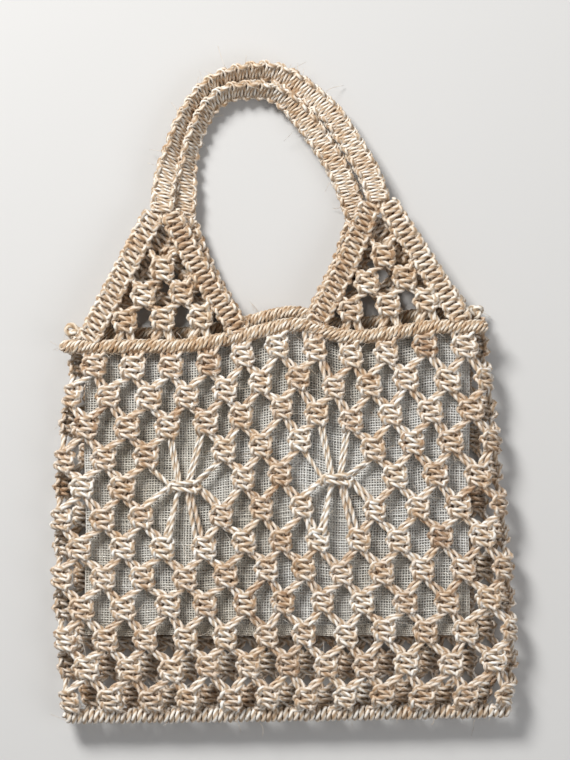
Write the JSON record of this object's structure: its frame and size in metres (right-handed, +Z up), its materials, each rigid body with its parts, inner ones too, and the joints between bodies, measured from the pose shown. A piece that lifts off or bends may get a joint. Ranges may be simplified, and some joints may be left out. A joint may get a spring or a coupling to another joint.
{
  "type": "macrame handbag",
  "caption": "Knotted jute tote laid flat: alternating square-knot net with two star motifs, gauze lining, hitched rims and two strap handles on triangular knotted shoulders.",
  "frame": {"origin": "middle of the bag's outline in plan, on the surface it lies on", "axes": "+X along the rim to the right, +Y from the bottom seam towards the handles, +Z up out of the front"},
  "size_m": [0.3036, 0.4258, 0.026],
  "materials": {
    "net_jute": "two-ply jute cord, silky fibres, matte",
    "rim_jute": "two-ply jute cord in tight hitches, matte",
    "handle_jute": "two-ply jute cord in half-knot bands, matte",
    "pale_jute": "unworn jute cord, pale and slightly silky",
    "lining_gauze": "open plain-woven gauze, matte",
    "lining_hem": "folded gauze hem, matte"
  },
  "bodies": {
    "back_panel": {"back_net": "net_jute", "side_net_left": "net_jute", "side_net_right": "net_jute", "bottom_seam_core": "rim_jute", "bottom_seam_hitches": "rim_jute", "back_rim_core": "rim_jute", "back_rim_hitches": "rim_jute", "back_rim_loop": "rim_jute", "back_rim_end_knot": "rim_jute", "lining_back": "lining_gauze", "lining_hem_back": "lining_hem"},
    "front_panel": {"front_net": "net_jute", "front_rim_core": "rim_jute", "front_rim_hitches": "rim_jute", "star_left_floats": "pale_jute", "star_left_tie": "net_jute", "star_right_floats": "pale_jute", "star_right_tie": "net_jute", "lining_front": "lining_gauze", "lining_hem_front": "lining_hem"},
    "back_handle": {"back_handle_left_border_outer": "handle_jute", "back_handle_left_border_inner": "handle_jute", "back_handle_left_knots": "handle_jute", "back_handle_right_border_outer": "handle_jute", "back_handle_right_border_inner": "handle_jute", "back_handle_right_knots": "handle_jute", "back_handle_strap_core": "handle_jute", "back_handle_strap_knots": "handle_jute"},
    "front_handle": {"front_handle_left_border_outer": "handle_jute", "front_handle_left_border_inner": "handle_jute", "front_handle_left_knots": "handle_jute", "front_handle_right_border_outer": "handle_jute", "front_handle_right_border_inner": "handle_jute", "front_handle_right_knots": "handle_jute", "front_handle_strap_core": "handle_jute", "front_handle_strap_knots": "handle_jute"}
  },
  "joints": [
    {"name": "mouth_open", "type": "hinge", "parent": "back_panel", "child": "front_panel", "pos_m": [0, -0.20675, 0.013], "axis": [1, 0, 0], "range_deg": [0, 12]},
    {"name": "front_handle_lift", "type": "hinge", "parent": "front_panel", "child": "front_handle", "pos_m": [-0.0078, 0.03675, 0.0215], "axis": [0.9978, 0.0663, 0], "range_deg": [0, 95]},
    {"name": "back_handle_lift", "type": "hinge", "parent": "back_panel", "child": "back_handle", "pos_m": [-0.0078, 0.04475, 0.0045], "axis": [0.9978, 0.0663, 0], "range_deg": [0, 60]}
  ],
  "couplings": [
    {"joint": "back_handle_lift", "follows": "front_handle_lift", "ratio": 0.63}
  ]
}
